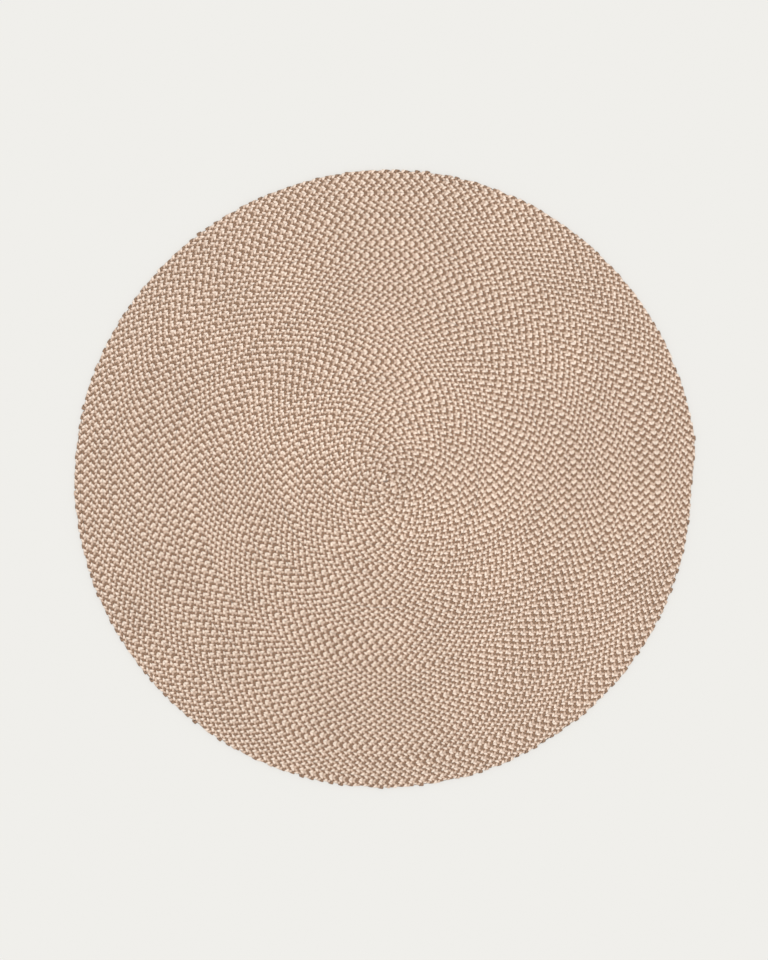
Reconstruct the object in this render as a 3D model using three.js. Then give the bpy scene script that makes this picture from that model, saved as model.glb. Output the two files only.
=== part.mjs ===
// A round braided rug, 1.5 m across. One flat braid is wound edge to edge into a spiral and sewn.
// Millimetres. The rug lies on the plane Z = 0 with +Z up, and the origin is the middle of its underside.
// The braid begins at the eye and winds outward, clockwise seen from above.

import * as THREE from 'three';

// The braid
const braidWidth = 13.66; // one row of the spiral, from seam to seam
const rugThickness = 9; // floor to the crest of a row
const grooveDepth = 2.5; // crest of a row down to the seam beside it

// The rounded free edge of the outermost row. It stands out past the line where a seam would be.
const rimBulge = 1.4;
const shoulderInset = 2.2;
const footInset = 2.5;
const widestHeight = 4.5;

// The winding, counted in turns from the line where a turn begins, which is +X
const startTurn = 0.336; // the braid's first stitch, at the eye
const endTurn = 55; // the tip of its tail, on the rim
const tailTurns = 0.02; // the tail narrows over this part of a turn
const eyeGrooveTurns = 0.5; // the first groove deepens over this part of a turn

// Hand winding leaves the eye a little off the middle, and the last rows less so
const eyeOffset = { x: 5.0, y: -5.8 };
const rimOffset = { x: 1.4, y: -4.6 };

// The first rows are wound tight, the middle ones loosest and the last ones in between
const tightness = { atEye: -4.6, early: 11.2, late: -9.1 };

// Slow waves in the rows, which grow from nothing at the eye to this height at the rim
const rimWaves = [
  { lobes: 2, height: 1.5, peakDegrees: 15 },
  { lobes: 3, height: 1.2, peakDegrees: -58 },
  { lobes: 4, height: 1.0, peakDegrees: -7.5 },
];

// How far a straight facet may lie from the true curve
const rowSag = 0.95;
const rimSag = 0.45;
const leastStepsPerTurn = 12;

const fullTurn = 2 * Math.PI;

function growth(turn) {
  return turn / endTurn;
}

function directionOf(turn) {
  return -fullTurn * turn;
}

function waveHeight(turn) {
  const direction = directionOf(turn);
  let height = 0;
  for (const wave of rimWaves) {
    const peak = THREE.MathUtils.degToRad(wave.peakDegrees);
    height += wave.height * Math.cos(wave.lobes * (direction - peak));
  }
  return growth(turn) * height;
}

function rowRadius(turn) {
  const part = growth(turn);
  const tight = tightness.atEye + tightness.early * part + tightness.late * part * part;
  return braidWidth * turn + tight + waveHeight(turn);
}

// 0 along the braid, rising to 1 at the tip of the tail
function narrowing(turn) {
  return THREE.MathUtils.smoothstep(turn, endTurn - tailTurns, endTurn);
}

// A point beside the middle line of the braid. Across is positive towards the rim.
function pointOnBraid(turn, across, height) {
  const radius = rowRadius(turn) + across;
  const direction = directionOf(turn);
  const middleX = THREE.MathUtils.lerp(eyeOffset.x, rimOffset.x, growth(turn));
  const middleY = THREE.MathUtils.lerp(eyeOffset.y, rimOffset.y, growth(turn));
  return [middleX + radius * Math.cos(direction), middleY + radius * Math.sin(direction), height];
}

// The turns at which a line has its corners, closer together where the rows are wide
function cornersBetween(from, to, sag) {
  const turns = [from];
  let at = from;
  while (at < to) {
    const radius = Math.max(braidWidth * at, braidWidth);
    const step = Math.min(Math.sqrt((8 * sag) / radius) / fullTurn, 1 / leastStepsPerTurn);
    at += step;
    if (at < to - step / 2) {
      turns.push(at);
    }
  }
  turns.push(to);
  return turns;
}

// The surface is built of lines that run along the braid, and strips of faces between them
const positions = [];
const faces = [];

function addCorner(turn, across, height) {
  positions.push(...pointOnBraid(turn, across, height));
  return positions.length / 3 - 1;
}

function addFace(a, b, c) {
  if (a !== b && b !== c && c !== a) {
    faces.push(a, b, c);
  }
}

function layLine(turns, acrossAt, heightAt) {
  return turns.map((turn) => ({ turn, corner: addCorner(turn, acrossAt(turn), heightAt(turn)) }));
}

// Faces between a line and the one that follows it on the way out over the crest and under the edge
function fillStrip(line, nextLine) {
  let i = 0;
  let j = 0;
  while (i < line.length - 1 || j < nextLine.length - 1) {
    const turn = i < line.length - 1 ? line[i + 1].turn : Infinity;
    const nextTurn = j < nextLine.length - 1 ? nextLine[j + 1].turn : Infinity;
    if (turn <= nextTurn) {
      addFace(line[i].corner, line[i + 1].corner, nextLine[j].corner);
      i += 1;
    } else {
      addFace(line[i].corner, nextLine[j + 1].corner, nextLine[j].corner);
      j += 1;
    }
  }
}

function buildBraidedCoil() {
  const seamAcross = braidWidth / 2;
  const lastSeamTurn = endTurn - 1;
  const seamHeight = rugThickness - grooveDepth;

  // The crest, from the eye to the tip of the tail
  const crest = layLine(
    cornersBetween(startTurn, endTurn, rowSag),
    (turn) => -seamAcross * narrowing(turn),
    (turn) => rugThickness - grooveDepth * narrowing(turn),
  );

  // The seam between each row and the next one out
  const seam = layLine(
    cornersBetween(startTurn, lastSeamTurn, rowSag),
    () => seamAcross,
    (turn) => {
      const depth = THREE.MathUtils.smoothstep(turn, startTurn, startTurn + eyeGrooveTurns);
      return rugThickness - grooveDepth * depth;
    },
  );

  // The tail closes to a point where the last seam ends
  const tip = seam.at(-1).corner;
  crest.at(-1).corner = tip;

  // The rim is the outer edge of the last turn. Each of its lines ends where it begins.
  const rimTurns = cornersBetween(lastSeamTurn, endTurn, rimSag);
  const edgeAcross = (turn) =>
    THREE.MathUtils.lerp(seamAcross + rimBulge, seamAcross - braidWidth, narrowing(turn));
  const closedLine = (inset, height) => {
    const line = layLine(rimTurns.slice(0, -1), (turn) => edgeAcross(turn) - inset, () => height);
    return [...line, { turn: endTurn, corner: line[0].corner }];
  };
  const shoulder = layLine(
    rimTurns.slice(1, -1),
    (turn) => edgeAcross(turn) - shoulderInset * (1 - narrowing(turn)),
    () => seamHeight,
  );
  const closedShoulder = [
    { turn: lastSeamTurn, corner: tip },
    ...shoulder,
    { turn: endTurn, corner: tip },
  ];
  const widest = closedLine(0, widestHeight);
  const foot = closedLine(footInset, 0);

  // The outer side of every row, down to its seam or over the shoulder
  fillStrip(crest, [...seam, ...closedShoulder.slice(1)]);

  // The inner side of every row, from the seam one turn before it
  const eye = { turn: startTurn, corner: crest[0].corner };
  const seamOneTurnBefore = seam.map(({ turn, corner }) => ({ turn: turn + 1, corner }));
  fillStrip([eye, ...seamOneTurnBefore], crest);

  // The edge and the flat underside
  fillStrip(closedShoulder, widest);
  fillStrip(widest, foot);
  positions.push(rimOffset.x, rimOffset.y, 0);
  const undersideMiddle = positions.length / 3 - 1;
  fillStrip(foot, [{ turn: lastSeamTurn, corner: undersideMiddle }]);

  const geometry = new THREE.BufferGeometry();
  geometry.setAttribute('position', new THREE.Float32BufferAttribute(positions, 3));
  geometry.setIndex(faces);
  geometry.computeVertexNormals();
  return geometry;
}

const braidMaterial = new THREE.MeshStandardMaterial({ color: 0xc5ab97, roughness: 0.95, metalness: 0 });

const rug = new THREE.Group();
const braidedCoil = new THREE.Mesh(buildBraidedCoil(), braidMaterial);
braidedCoil.name = 'braided_coil';
rug.add(braidedCoil);

export default rug;
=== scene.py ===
# A round rug, 1.5 m across, of one flat three-strand braid wound edge to edge into a spiral.
# Metres. The floor is Z = 0, and +X points to the rim where the braid's tail ends.

import math

import bpy
import numpy as np
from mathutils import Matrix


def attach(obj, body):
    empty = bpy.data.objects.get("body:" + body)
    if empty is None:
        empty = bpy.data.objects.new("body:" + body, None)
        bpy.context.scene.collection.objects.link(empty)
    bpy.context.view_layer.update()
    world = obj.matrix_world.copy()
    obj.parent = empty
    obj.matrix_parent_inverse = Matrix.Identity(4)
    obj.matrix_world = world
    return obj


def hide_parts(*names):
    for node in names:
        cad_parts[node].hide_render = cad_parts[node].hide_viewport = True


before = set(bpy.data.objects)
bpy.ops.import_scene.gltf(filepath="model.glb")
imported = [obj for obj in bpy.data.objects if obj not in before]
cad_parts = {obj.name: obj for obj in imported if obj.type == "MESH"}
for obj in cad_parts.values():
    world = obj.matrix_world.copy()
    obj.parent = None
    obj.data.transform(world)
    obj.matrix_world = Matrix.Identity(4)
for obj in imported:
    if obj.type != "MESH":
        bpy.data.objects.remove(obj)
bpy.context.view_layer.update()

MM = 0.001
FULL_TURN = 2 * math.pi
SEED = 7

# The braid, wound as the solid is
BRAID_WIDTH = 13.66 * MM
SEAM_ACROSS = BRAID_WIDTH / 2
START_TURN = 0.336
END_TURN = 55.0
TAIL_TURNS = 0.02
EYE_OFFSET = (5.0 * MM, -5.8 * MM)
RIM_OFFSET = (1.4 * MM, -4.6 * MM)
TIGHT_AT_EYE = -4.6 * MM
TIGHT_EARLY = 11.2 * MM
TIGHT_LATE = -9.1 * MM
RIM_WAVES = (
    {"lobes": 2, "height": 1.5 * MM, "peak": math.radians(15)},
    {"lobes": 3, "height": 1.2 * MM, "peak": math.radians(-58)},
    {"lobes": 4, "height": 1.0 * MM, "peak": math.radians(-7.5)},
)

# The plait. A period is the length in which a strand comes back to the same edge of the braid.
PERIODS_A_METRE_AT_EYE = 41.786
PERIODS_A_METRE_AT_RIM = 41.182
PERIODS_AT_START = 0.6725
# The braid's very end is tucked into the eye, this part of a turn before its first stitch
TUCKED_TURNS = 0.22

# Half a period of a strand: it leaves the middle, rises over one edge and comes back beneath.
# Phase is in degrees of the period. Lean tips the strand's outer face towards the edge, and slant turns
# its wide side from across the braid, at 0, to along it, at 90.
EDGE_ACROSS = 5.5 * MM
STATION_COLUMNS = ("phase", "across", "height", "half_width", "half_height", "lean", "slant")
HALF_PERIOD = (
    (0, 0, -1.2 * MM, 2.3 * MM, 1.8 * MM, 0, 45),
    (66, EDGE_ACROSS, 2.25 * MM, 4.05 * MM, 2.45 * MM, 34, 78),
    (114, EDGE_ACROSS, -2.25 * MM, 4.05 * MM, 2.45 * MM, 146, 102),
)
STRAND_MIDDLE = 4.45 * MM
STRAND_SIDES = 5
# A strand's last half period may pass the braid's end by this share, where it has no more stations
SPARE_AT_END = 0.36

# The eye, where the braid bends so tightly that its strands are thinner and its outer edge spreads
LEAST_RADIUS = 0.3 * MM
EYE_RADIUS = 4.0 * MM
TIGHT_REACH = 3.2 * MM
SIZE_AT_EYE = 0.72
SMALL_TURNS = 0.9

# The tail, which thins out and closes in the last seam
TAIL_SIZE = 0.5
TAIL_ACROSS = -0.8 * SEAM_ACROSS
TAIL_FLATTENING = 0.7

# How uneven the plait is. Drift moves its stitches along the braid, by parts of a period.
DRIFT = ({"every": 6, "size": 0.03}, {"every": 60, "size": 0.15})
ROW_WOBBLE = 0.2 * MM
ROW_WOBBLE_PERIODS = 6
STITCH_SHIFT = 0.2 * MM
SWELLING = 0.04
SWELLING_PERIODS = 2
# No next row holds the stitches at the rim, so they stand out unevenly
RIM_STITCH_SHIFT = 1.4 * MM
RIM_STITCH_LIMITS = (-2.6 * MM, 1.4 * MM)
RIM_WOBBLE = 0.9 * MM
RIM_WOBBLE_PERIODS = 2


def smoothstep(value, start, end):
    part = np.clip((value - start) / (end - start), 0, 1)
    return part * part * (3 - 2 * part)


def lerp(start, end, part):
    return start + (end - start) * part


# The winding

def growth(turn):
    return turn / END_TURN


def direction_of(turn):
    return -FULL_TURN * turn


def row_radius(turn):
    part = growth(turn)
    waves = sum(w["height"] * np.cos(w["lobes"] * (direction_of(turn) - w["peak"])) for w in RIM_WAVES)
    return BRAID_WIDTH * turn + TIGHT_AT_EYE + TIGHT_EARLY * part + TIGHT_LATE * part * part + part * waves


def narrowing(turn):
    """0 along the braid, rising to 1 at the tip of its tail."""
    return smoothstep(turn, END_TURN - TAIL_TURNS, END_TURN)


def on_braid(turn, across, height):
    """Points beside the middle line of the braid. Across is positive towards the rim."""
    radius = np.maximum(row_radius(turn) + across, LEAST_RADIUS)
    direction = direction_of(turn)
    x = lerp(EYE_OFFSET[0], RIM_OFFSET[0], growth(turn)) + radius * np.cos(direction)
    y = lerp(EYE_OFFSET[1], RIM_OFFSET[1], growth(turn)) + radius * np.sin(direction)
    return np.column_stack((x, y, height + 0 * turn))


# Seeded unevenness

random = np.random.default_rng(SEED)


def slow_noise(periods, every):
    """Smooth noise of size 1 along the braid, with a knot every so many periods."""
    knots = np.arange(periods.min() - every, periods.max() + 2 * every, every)
    at = np.clip((periods - knots[0]) / every, 0, len(knots) - 2)
    before = at.astype(int)
    part = smoothstep(at - before, 0, 1)
    values = random.standard_normal(len(knots))
    return lerp(values[before], values[before + 1], part)


# The plait's periods, counted along the braid
TABLE_POINTS = 200001


def count_periods():
    turns = np.linspace(START_TURN - TUCKED_TURNS, END_TURN, TABLE_POINTS)
    direction = direction_of(turns)
    radius = row_radius(turns)
    middle = np.column_stack((radius * np.cos(direction), radius * np.sin(direction)))
    steps = np.linalg.norm(np.diff(middle, axis=0), axis=1)
    density = lerp(PERIODS_A_METRE_AT_EYE, PERIODS_A_METRE_AT_RIM, growth(turns[1:]))
    periods = np.concatenate(([0], np.cumsum(steps * density)))
    periods = periods + PERIODS_AT_START - np.interp(START_TURN, turns, periods)
    for wave in DRIFT:
        periods = periods + wave["size"] * slow_noise(periods, wave["every"])
    return turns, np.maximum.accumulate(periods)


turn_table, period_table = count_periods()


def turn_at(periods):
    return np.interp(periods, period_table, turn_table)


row_knots = np.arange(period_table[0], period_table[-1] + 1)
row_wobble = ROW_WOBBLE * slow_noise(row_knots, ROW_WOBBLE_PERIODS)


# Meshes

def make_piece(name, points, faces, uv_maps, material):
    mesh = bpy.data.meshes.new(name)
    mesh.from_pydata(points.tolist(), [], faces)
    for map_name, corners in uv_maps.items():
        layer = mesh.uv_layers.new(name=map_name)
        layer.data.foreach_set("uv", np.asarray(corners, dtype=np.float32).ravel())
    mesh.shade_smooth()
    mesh.materials.append(material)
    piece = bpy.data.objects.new(name, mesh)
    bpy.context.collection.objects.link(piece)
    return piece


# Where a strand runs over the inner half of the braid, its faces are split along their other diagonal,
# so that both halves are mirror images.
CORNER_ORDER = np.array([[0, 1, 2, 3], [1, 2, 3, 0]])


def ordered(corners, mirrored):
    """The four corners of each face, which begin with the next corner where the face is mirrored."""
    order = CORNER_ORDER[mirrored.astype(int)]
    return corners[np.arange(len(corners))[:, None], order]


def tube_faces(count, sides, mirrored):
    """Quads between rings, then the two end caps."""
    ring = np.arange(count - 1)[:, None] * sides
    corner = np.arange(sides)[None, :]
    following = (corner + 1) % sides
    next_ring = ring + sides
    corners = (ring + corner, ring + following, next_ring + following, next_ring + corner)
    quads = np.stack(corners, axis=-1)
    quads = ordered(quads.reshape(-1, 4), np.repeat(mirrored, sides))
    first_cap = list(reversed(range(sides)))
    last_cap = [(count - 1) * sides + k for k in range(sides)]
    return quads.tolist() + [first_cap, last_cap]


def tube_uv(before, after, low, high, mirrored):
    """One map's corners for every quad of a tube, in the order of its faces."""
    corners = ((before, low), (before, high), (after, high), (after, low))
    quads = np.stack([np.stack(np.broadcast_arrays(*corner), -1) for corner in corners], axis=2)
    sides = quads.shape[1]
    return ordered(quads.reshape(-1, 4, 2), np.repeat(mirrored, sides)).reshape(-1, 2)


# The unrolled tube is folded into rows that fill the unit square, for baking. Each of its end caps lies
# in a few cells at the end of the last row.
CAP_CELLS = 4
CAP_REACH = 0.4
ROW_FILL = 0.94


def folded_uv(count, sides, length, mirrored):
    """A tube's faces in rows that fill the unit square. Its length is counted in girths."""
    segments = count - 1
    rows = max(1, round(math.sqrt(length)))
    columns = math.ceil((segments + 2 * CAP_CELLS) / rows)
    row, column = np.divmod(np.arange(segments)[:, None], columns)
    side = np.arange(sides)[None, :]
    low = (row + ROW_FILL * side / sides) / rows
    high = (row + ROW_FILL * (side + 1) / sides) / rows
    quads = tube_uv(column / columns, (column + 1) / columns, low, high, mirrored)
    caps = []
    angles = FULL_TURN * np.arange(sides) / sides
    for cap, spin in enumerate((-angles, angles)):
        middle_x = (columns - (cap + 0.5) * CAP_CELLS) / columns
        middle_y = (rows - 1 + ROW_FILL / 2) / rows
        wide = CAP_REACH * CAP_CELLS / columns
        tall = CAP_REACH * ROW_FILL / rows
        caps.append(np.column_stack((middle_x + wide * np.cos(spin), middle_y + tall * np.sin(spin))))
    return np.concatenate((quads, *caps))


def yarn_uv(counts, sides, mirrored):
    """Periods of the plait along the tube, and the share of its girth round it."""
    side = np.arange(sides)[None, :]
    quads = tube_uv(counts[:-1, None], counts[1:, None], side / sides, (side + 1) / sides, mirrored)
    round_it = np.arange(sides) / sides
    first_cap = np.column_stack((np.full(sides, counts[0]), round_it[::-1]))
    last_cap = np.column_stack((np.full(sides, counts[-1]), round_it))
    return np.concatenate((quads, first_cap, last_cap))


# Materials

class Nodes:
    """A short way to add nodes to one material and join them."""

    def __init__(self, name):
        self.material = bpy.data.materials.new(name)
        self.material.use_nodes = True
        self.tree = self.material.node_tree
        self.shader = self.tree.nodes["Principled BSDF"]

    def add(self, kind, inputs=None, **settings):
        node = self.tree.nodes.new(kind)
        for key, value in settings.items():
            setattr(node, key, value)
        for key, value in (inputs or {}).items():
            self.put(node.inputs[key], value)
        return node

    def put(self, socket, value):
        if isinstance(value, bpy.types.NodeSocket):
            self.tree.links.new(value, socket)
        else:
            socket.default_value = value

    def math(self, operation, *values):
        node = self.add("ShaderNodeMath", operation=operation)
        for socket, value in zip(node.inputs, values):
            self.put(socket, value)
        return node.outputs[0]

    def vector_math(self, operation, inputs, output="Vector"):
        return self.add("ShaderNodeVectorMath", inputs, operation=operation).outputs[output]

    def triangle(self, value):
        """1 at whole numbers, falling to 0 half way between them."""
        return self.math("ABSOLUTE", self.math("MULTIPLY_ADD", self.math("FRACT", value), 2.0, -1.0))

    def noise(self, vector, scale, detail=2.0, roughness=0.5):
        inputs = {"Vector": vector, "Scale": scale, "Detail": detail, "Roughness": roughness}
        return self.add("ShaderNodeTexNoise", inputs).outputs["Fac"]

    def vector(self, x, y, z=0.0):
        return self.add("ShaderNodeCombineXYZ", {"X": x, "Y": y, "Z": z}).outputs[0]


# The yarn. Lengths along a strand are counted in its girths, and a stitch rises and dips over most of
# the way from the braid's middle to its edge.
GIRTHS_A_PERIOD = 2.36
STITCH_REACH = 0.8
STITCH_RELIEF = 0.35 * MM
SUNK_STEEPNESS = 4.0
PLIES = 6
PLY_TWIST = 0.45
PLY_RELIEF = 0.35 * MM
GROOVE_STEEPNESS = 4.0
# Painted shade in the grooves between plies, which are too fine for the mesh to shade
GROOVE_PAINTED_SHADE = 0.22
FIBRES_A_PLY = 5
FIBRE_TWIST = 1.6
FIBRE_CHANGES = 4.0
FIBRE_NOISE = {"scale": 1.0, "detail": 2.0}
FIBRE_RELIEF = 0.12 * MM
FIBRE_SHADE = 0.20
FUZZ_NOISE = {"scale": 60.0, "detail": 3.0, "roughness": 0.6}
FUZZ_RELIEF = 0.08 * MM
FUZZ_ROUGHNESS = 0.24
LEAST_ROUGHNESS = 0.66
SPECULAR_LEVEL = 0.35
SHEEN = 0.12
SHEEN_ROUGHNESS = 0.5
# Each ply has its own patches of tone, drawn this far apart in the noise
PATCH_NOISE = {"scale": 0.9, "detail": 2.0}
PLY_APART = 7.3
STRAND_SHADE = 0.13
# A strand's upper side is highest at these shares of its girth, over either half of the braid
TOP_OUTER = 1 / STRAND_SIDES
TOP_INNER = 3 / STRAND_SIDES
UPPER_FACE = 1 / STRAND_SIDES
VALLEY_FILL = 0.5 * MM
# Painted shade where yarn lies deep is warmer, because the light there has come off other yarn
PAINTED_SHADE_WARMTH = (0.80, 1.0, 1.15)

# The whole rug has soft clouds of tone. Painted light makes it palest a little off its middle, from
# where it loses a share of its brightness with every metre, and painted shade darkens its tight eye.
CLOUD_NOISE = {"scale": 5.0, "detail": 4.0, "roughness": 0.6}
CLOUD_SHADE = 0.18
PALEST = (0.13, 0.13, 0)
PALE_LOSS = 0.11
EYE_SHADE = 0.07
EYE_SHADE_REACH = (0.035, 0.105)


def slow_tone_and_painted_light(n):
    """The slow changes of brightness over the whole rug, about 1 on average: random clouds of tone, a
    painted light falloff and painted shade in the eye.
    """
    spot = n.add("ShaderNodeNewGeometry").outputs["Position"]
    clouds = n.math("MULTIPLY_ADD", n.noise(spot, **CLOUD_NOISE), CLOUD_SHADE, 1.0 - CLOUD_SHADE / 2)
    from_palest = n.vector_math("DISTANCE", {0: spot, 1: PALEST}, "Value")
    # Painted light: brightest at the palest spot, falling off with the distance from it
    painted_light_falloff = n.math("MULTIPLY_ADD", from_palest, -PALE_LOSS, 1.0 + PALE_LOSS / 2)
    # Painted shade: the tightly wound eye is darker, as its gaps are deeper
    from_eye = n.vector_math("DISTANCE", {0: spot, 1: (*EYE_OFFSET, 0)}, "Value")
    eye_shade_range = {
        "Value": from_eye,
        "From Min": EYE_SHADE_REACH[0],
        "From Max": EYE_SHADE_REACH[1],
        "To Min": 1.0 - EYE_SHADE,
        "To Max": 1.0,
    }
    painted_eye_shade = n.add("ShaderNodeMapRange", eye_shade_range, interpolation_type="SMOOTHSTEP").outputs[0]
    return n.math("MULTIPLY", clouds, n.math("MULTIPLY", painted_light_falloff, painted_eye_shade))


def yarn_material(name, colour, sunk_painted_shade):
    """Six twisted plies side by side, each of fine fibres, from the yarn map of a strand."""
    n = Nodes(name)
    place = n.add("ShaderNodeUVMap", uv_map="yarn").outputs[0]
    parts = n.add("ShaderNodeSeparateXYZ", {"Vector": place})
    count, around = parts.outputs["X"], parts.outputs["Y"]
    along = n.math("MULTIPLY", count, GIRTHS_A_PERIOD)
    # From the braid's middle, where it is sunk among the others, a stitch rises and dips at the edge
    from_edge = n.triangle(n.math("MULTIPLY", count, 2.0))
    stitch = n.math("MINIMUM", n.math("DIVIDE", n.math("SUBTRACT", 1.0, from_edge), STITCH_REACH), 1.0)
    crest = n.math("SINE", n.math("MULTIPLY", stitch, math.pi))
    ply = n.math("MULTIPLY_ADD", around, PLIES, n.math("MULTIPLY", along, PLY_TWIST))
    ply_number = n.math("FLOOR", ply)
    groove = n.math("POWER", n.triangle(ply), GROOVE_STEEPNESS)
    # Loose fibres round off the valley between two strands
    inner = n.math("GREATER_THAN", n.math("FRACT", count), 0.5)
    top = n.math("MULTIPLY_ADD", inner, TOP_INNER - TOP_OUTER, TOP_OUTER)
    off_top = n.math("ABSOLUTE", n.math("SUBTRACT", around, top))
    valley = n.math("POWER", n.math("MINIMUM", n.math("DIVIDE", off_top, UPPER_FACE), 1.0), 2.0)
    fibre_line = n.math("MULTIPLY_ADD", along, FIBRE_TWIST * PLIES, n.math("MULTIPLY", ply, FIBRES_A_PLY))
    fibre_place = n.vector(n.math("MULTIPLY", along, FIBRE_CHANGES), fibre_line, ply_number)
    fibres = n.noise(fibre_place, **FIBRE_NOISE)
    fuzz = n.noise(n.vector(along, around), **FUZZ_NOISE)
    patches = n.noise(n.vector(along, n.math("MULTIPLY", ply_number, PLY_APART)), **PATCH_NOISE)

    # Painted shade: the yarn is darkened where the stitch comes up from beneath the others and in the ply
    # grooves
    sunk_shade_mask = n.math("POWER", n.math("SUBTRACT", 1.0, stitch), SUNK_STEEPNESS)
    painted_shade_depth = n.math("MULTIPLY_ADD", groove, GROOVE_PAINTED_SHADE, n.math("MULTIPLY", sunk_shade_mask, sunk_painted_shade))
    painted_shade_loss = [-share for share in PAINTED_SHADE_WARMTH]
    painted_deep_tint = n.vector_math("MULTIPLY_ADD", {0: painted_shade_depth, 1: painted_shade_loss, 2: (1, 1, 1)})
    tint = n.vector_math("MULTIPLY", {0: painted_deep_tint, 1: colour})
    shade = n.math("MULTIPLY_ADD", fibres, FIBRE_SHADE * 2, 1.0 - FIBRE_SHADE)
    shade = n.math("MULTIPLY", shade, n.math("MULTIPLY_ADD", patches, STRAND_SHADE * 2, 1.0 - STRAND_SHADE))
    shade = n.math("MULTIPLY", shade, slow_tone_and_painted_light(n))
    tint = n.vector_math("SCALE", {0: tint, "Scale": shade})
    roughness = n.math("MULTIPLY_ADD", fuzz, FUZZ_ROUGHNESS, LEAST_ROUGHNESS)
    n.put(n.shader.inputs["Base Color"], tint)
    n.put(n.shader.inputs["Roughness"], roughness)
    n.shader.inputs["Specular IOR Level"].default_value = SPECULAR_LEVEL
    n.shader.inputs["Sheen Weight"].default_value = SHEEN
    n.shader.inputs["Sheen Roughness"].default_value = SHEEN_ROUGHNESS

    height = n.math("MULTIPLY_ADD", groove, -PLY_RELIEF, n.math("MULTIPLY", fibres, FIBRE_RELIEF))
    height = n.math("MULTIPLY_ADD", fuzz, FUZZ_RELIEF, height)
    height = n.math("MULTIPLY_ADD", crest, STITCH_RELIEF, height)
    height = n.math("MULTIPLY_ADD", valley, VALLEY_FILL, height)
    bump = n.add("ShaderNodeBump", {"Height": height, "Distance": 1.0, "Strength": 1.0})
    n.put(n.shader.inputs["Normal"], bump.outputs[0])
    return n.material


# Half of the floor's brightness is its own, so that the rug's shadow on it is faint
FLOOR_COLOUR = (0.620, 0.6145, 0.5955)
FLOOR_GLOW = (0.871, 0.863, 0.831)
GLOW_SHARE = 0.5
FLOOR_NOISE = {"scale": 3.0, "detail": 2.0}
FLOOR_SHADE = 0.01
FLOOR_ROUGHNESS = 0.9


def floor_material():
    n = Nodes("floor_paint")
    place = n.add("ShaderNodeNewGeometry").outputs["Position"]
    grain = n.noise(place, **FLOOR_NOISE)
    lit_share = 1 - GLOW_SHARE
    shade = n.math("MULTIPLY_ADD", grain, FLOOR_SHADE * lit_share, (1 - FLOOR_SHADE / 2) * lit_share)
    n.put(n.shader.inputs["Base Color"], n.vector_math("SCALE", {0: FLOOR_COLOUR, "Scale": shade}))
    n.shader.inputs["Emission Color"].default_value = (*FLOOR_GLOW, 1)
    n.shader.inputs["Emission Strength"].default_value = GLOW_SHARE
    n.shader.inputs["Roughness"].default_value = FLOOR_ROUGHNESS
    n.shader.inputs["Specular IOR Level"].default_value = 0.0
    return n.material


# A strand's sunk shade is painted shade: how much darker it is made where it comes up from beneath the
# others. Its rim stand is how far its stitches are moved outward at the rim.
STRANDS = (
    {"name": "brown_strand", "colour": (0.297, 0.183, 0.116), "sunk_painted_shade": 0.46, "rim_stand": 0.6 * MM},
    {"name": "beige_strand", "colour": (0.641, 0.479, 0.372), "sunk_painted_shade": 0.36, "rim_stand": -0.8 * MM},
    {"name": "cream_strand", "colour": (0.862, 0.723, 0.612), "sunk_painted_shade": 0.34, "rim_stand": -1.2 * MM},
)


# The strands. Each rises over one edge of the braid, comes back beneath, and rises over the other edge.

def strand_stations(number):
    """HALF_PERIOD at every station along one strand, with the station's period and half of the braid."""
    behind = number / len(STRANDS)
    first_half = math.ceil(2 * (period_table[0] - behind))
    last_half = math.floor(2 * (period_table[-1] - behind) + SPARE_AT_END)
    halves = np.repeat(np.arange(first_half, last_half), len(HALF_PERIOD))
    columns = np.tile(np.array(HALF_PERIOD), (last_half - first_half, 1)).T
    at = dict(zip(STATION_COLUMNS, columns))
    at["outer"] = np.where(halves % 2 == 0, 1, -1)
    at["across"] = at["across"] * at["outer"]
    at["lean"] = np.radians(at["lean"])
    at["slant"] = np.radians(at["slant"])
    at["periods"] = halves / 2 + at["phase"] / 360 + behind
    return at


# The second of a strand's five corners is its highest, and the first its widest. The strand is rolled
# by half a side where its other face is outside.
FIRST_CORNER = math.radians(18)
CORNER_REACH = math.cos(FIRST_CORNER)
HALF_SIDE = math.pi / STRAND_SIDES


def spread_in_tight_rows(turns):
    """How much further the outer edge stands out where the braid bends tightly round the eye."""
    return TIGHT_REACH ** 2 / np.maximum(row_radius(turns), EYE_RADIUS)


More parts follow.
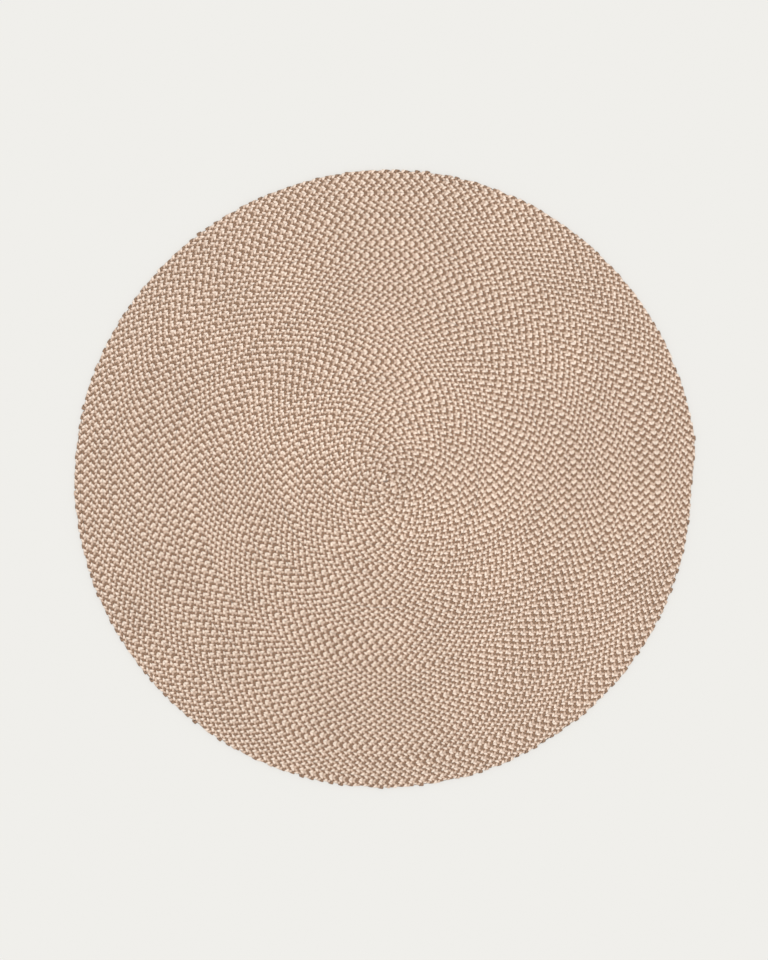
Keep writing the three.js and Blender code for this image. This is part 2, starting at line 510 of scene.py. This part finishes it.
def strand_rings(number):
    at = strand_stations(number)
    periods, outer = at["periods"], at["outer"]
    turns = turn_at(periods)
    tail = narrowing(turns)
    past_eye = smoothstep(turns, START_TURN, START_TURN + SMALL_TURNS)
    size = lerp(SIZE_AT_EYE, 1, past_eye) * lerp(1, TAIL_SIZE, tail)
    size = size * (1 + SWELLING * slow_noise(periods, SWELLING_PERIODS))
    shift = random.normal(0, STITCH_SHIFT, (2, len(periods)))

    across = at["across"] + shift[0]
    stitches = len(periods) // len(HALF_PERIOD)
    uneven = np.clip(random.normal(0, RIM_STITCH_SHIFT, stitches), *RIM_STITCH_LIMITS)
    at_rim = (across > EDGE_ACROSS / 2) & (turns > END_TURN - 1)
    stand = STRANDS[number]["rim_stand"] + RIM_WOBBLE * slow_noise(periods, RIM_WOBBLE_PERIODS)
    across = across + at_rim * (stand + np.repeat(uneven, len(HALF_PERIOD)))
    across = across + spread_in_tight_rows(turns) * (across > 0)
    across = across + np.interp(periods, row_knots, row_wobble)
    across = lerp(across, TAIL_ACROSS, tail)
    height = STRAND_MIDDLE + lerp(at["height"] + shift[1], 0, TAIL_FLATTENING * tail)

    # The ring's wide axis lies level. Its other axis turns over at the edge of the braid.
    middle = at["lean"] == 0
    wide_along = -np.sin(at["slant"])
    wide_across = np.cos(at["slant"]) * outer
    high_across = np.sin(at["lean"])
    high_up = np.cos(at["lean"]) * outer
    roll = np.where(middle, HALF_SIDE / 2, np.where(outer > 0, 0, HALF_SIDE))
    corners = FULL_TURN * np.arange(STRAND_SIDES) / STRAND_SIDES
    angles = FIRST_CORNER + roll[:, None] + corners[None, :]
    wide = (at["half_width"] / CORNER_REACH * size)[:, None] * np.cos(angles)
    high = (at["half_height"] * size)[:, None] * np.sin(angles)
    radius = np.maximum(row_radius(turns), EYE_RADIUS)
    corner_turns = turns[:, None] + wide * wide_along[:, None] / (FULL_TURN * radius[:, None])
    corner_across = across[:, None] + wide * wide_across[:, None] + high * high_across[:, None]
    corner_height = height[:, None] + high * high_up[:, None]
    corner_height = np.maximum(corner_height, 0)
    rings = on_braid(corner_turns.ravel(), corner_across.ravel(), corner_height.ravel())
    return rings.reshape(len(turns), STRAND_SIDES, 3), outer < 0, periods - number / len(STRANDS)


def make_strand(number):
    strand = STRANDS[number]
    material = yarn_material(strand["name"], strand["colour"], strand["sunk_painted_shade"])
    rings, inner_half, counts = strand_rings(number)
    # The strand is cut in two beneath the others, half way along
    split = (len(rings) // 2 // len(HALF_PERIOD)) * len(HALF_PERIOD) - 1
    pieces = []
    for coil, first, last in (("inner", 0, split), ("outer", split, len(rings) - 1)):
        part = slice(first, last + 1)
        count = last + 1 - first
        mirrored = inner_half[first:last]
        length = GIRTHS_A_PERIOD * (counts[last] - counts[first])
        uv_maps = {
            "OFBake": folded_uv(count, STRAND_SIDES, length, mirrored),
            "yarn": yarn_uv(counts[part], STRAND_SIDES, mirrored),
        }
        points = rings[part].reshape(-1, 3)
        name = f"{strand['name']}_{coil}"
        piece = make_piece(name, points, tube_faces(count, STRAND_SIDES, mirrored), uv_maps, material)
        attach(piece, "root")
        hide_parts("braided_coil")
        pieces.append(piece)
    return pieces


strand_pieces = [piece for number in range(len(STRANDS)) for piece in make_strand(number)]


# The ground: the inside of the braid, where the strands' fibres close the gaps between them
GROUND_STEP = 40 * MM
GROUND_STEPS_A_TURN = 16
GROUND_EDGE = 6.6 * MM
GROUND_RIM_EDGE = 4.8 * MM
GROUND_MIDDLE = 3.9 * MM
GROUND_TOP = 4.0 * MM
GROUND_BOTTOM = 2.9 * MM
GROUND_TAIL_ACROSS = -0.7 * SEAM_ACROSS
GROUND_SIDES = 4
GROUND_GIRTH = 4 * GROUND_EDGE
# The ground's dark colour is painted shade, for the shadowed yarn seen at the bottom of the gaps
GROUND_SHADE_COLOUR = (0.40, 0.28, 0.21)
GROUND_SUNK_PAINTED_SHADE = 0.33


def ground_turns():
    turns = [0.0]
    while turns[-1] < END_TURN:
        radius = max(BRAID_WIDTH * turns[-1], BRAID_WIDTH)
        turns.append(turns[-1] + min(GROUND_STEP / radius / FULL_TURN, 1 / GROUND_STEPS_A_TURN))
    turns[-1] = END_TURN
    return np.array(turns)


def make_ground():
    turns = ground_turns()
    tail = narrowing(turns)
    outer = np.where(turns > END_TURN - 1, GROUND_RIM_EDGE, GROUND_EDGE + spread_in_tight_rows(turns))
    outer = lerp(outer, GROUND_TAIL_ACROSS, tail)
    inner = np.maximum(-GROUND_EDGE, LEAST_RADIUS - row_radius(turns))
    middle = (outer + inner) / 2
    rings = np.stack(
        (
            on_braid(turns, outer, GROUND_MIDDLE),
            on_braid(turns, middle, GROUND_TOP),
            on_braid(turns, inner, GROUND_MIDDLE),
            on_braid(turns, middle, GROUND_BOTTOM),
        ),
        axis=1,
    )
    counts = np.interp(turns, turn_table, period_table)
    length = (counts[-1] - counts[0]) / PERIODS_A_METRE_AT_RIM / GROUND_GIRTH
    mirrored = np.zeros(len(turns) - 1, dtype=bool)
    uv_maps = {
        "OFBake": folded_uv(len(turns), GROUND_SIDES, length, mirrored),
        "yarn": yarn_uv(counts, GROUND_SIDES, mirrored),
    }
    material = yarn_material("braid_ground_shade", GROUND_SHADE_COLOUR, GROUND_SUNK_PAINTED_SHADE)
    faces = tube_faces(len(turns), GROUND_SIDES, mirrored)
    piece = make_piece("braid_ground_shade", rings.reshape(-1, 3), faces, uv_maps, material)
    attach(piece, "root")
    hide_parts("braided_coil")
    return piece


ground = make_ground()

# The floor, the light and the camera
FLOOR_SIZE = 60.0

floor_mesh = bpy.data.meshes.new("floor")
half = FLOOR_SIZE / 2
floor_corners = [(-half, -half, 0), (half, -half, 0), (half, half, 0), (-half, half, 0)]
floor_mesh.from_pydata(floor_corners, [], [(0, 1, 2, 3)])
floor_mesh.materials.append(floor_material())
floor = bpy.data.objects.new("floor", floor_mesh)
bpy.context.collection.objects.link(floor)

ROOM_COLOUR = (1.0, 0.995, 0.985)
ROOM_STRENGTH = 0.875

world = bpy.data.worlds.new("soft_room")
world.use_nodes = True
background = world.node_tree.nodes["Background"].inputs
background["Color"].default_value = (*ROOM_COLOUR, 1)
background["Strength"].default_value = ROOM_STRENGTH
bpy.context.scene.world = world

SUN_STRENGTH = 1.67
SUN_WIDTH = math.radians(50)
SUN_TILT = math.radians(5)
SUN_HEADING = math.radians(123)
sun_data = bpy.data.lights.new("soft_sun", "SUN")
sun_data.energy = SUN_STRENGTH
sun_data.angle = SUN_WIDTH
sun = bpy.data.objects.new("soft_sun", sun_data)
sun.rotation_euler = (SUN_TILT, 0, SUN_HEADING)
bpy.context.collection.objects.link(sun)

# The photograph is taken from straight above
PHOTO_SIZE = (768, 960)
METRES_A_PIXEL = 2.424 * MM
ORIGIN_PIXEL = (383.96, 477.74)
LENS = 85.0
SENSOR = 36.0

camera_data = bpy.data.cameras.new("photo_camera")
camera_data.sensor_fit = "AUTO"
camera_data.sensor_width = SENSOR
camera_data.lens = LENS
camera = bpy.data.objects.new("photo_camera", camera_data)
middle_pixel = ((PHOTO_SIZE[0] - 1) / 2, (PHOTO_SIZE[1] - 1) / 2)
camera.location = (
    (middle_pixel[0] - ORIGIN_PIXEL[0]) * METRES_A_PIXEL,
    (ORIGIN_PIXEL[1] - middle_pixel[1]) * METRES_A_PIXEL,
    STRAND_MIDDLE + PHOTO_SIZE[1] * METRES_A_PIXEL * LENS / SENSOR,
)
bpy.context.collection.objects.link(camera)
bpy.context.scene.camera = camera
bpy.context.scene.view_settings.view_transform = "Standard"
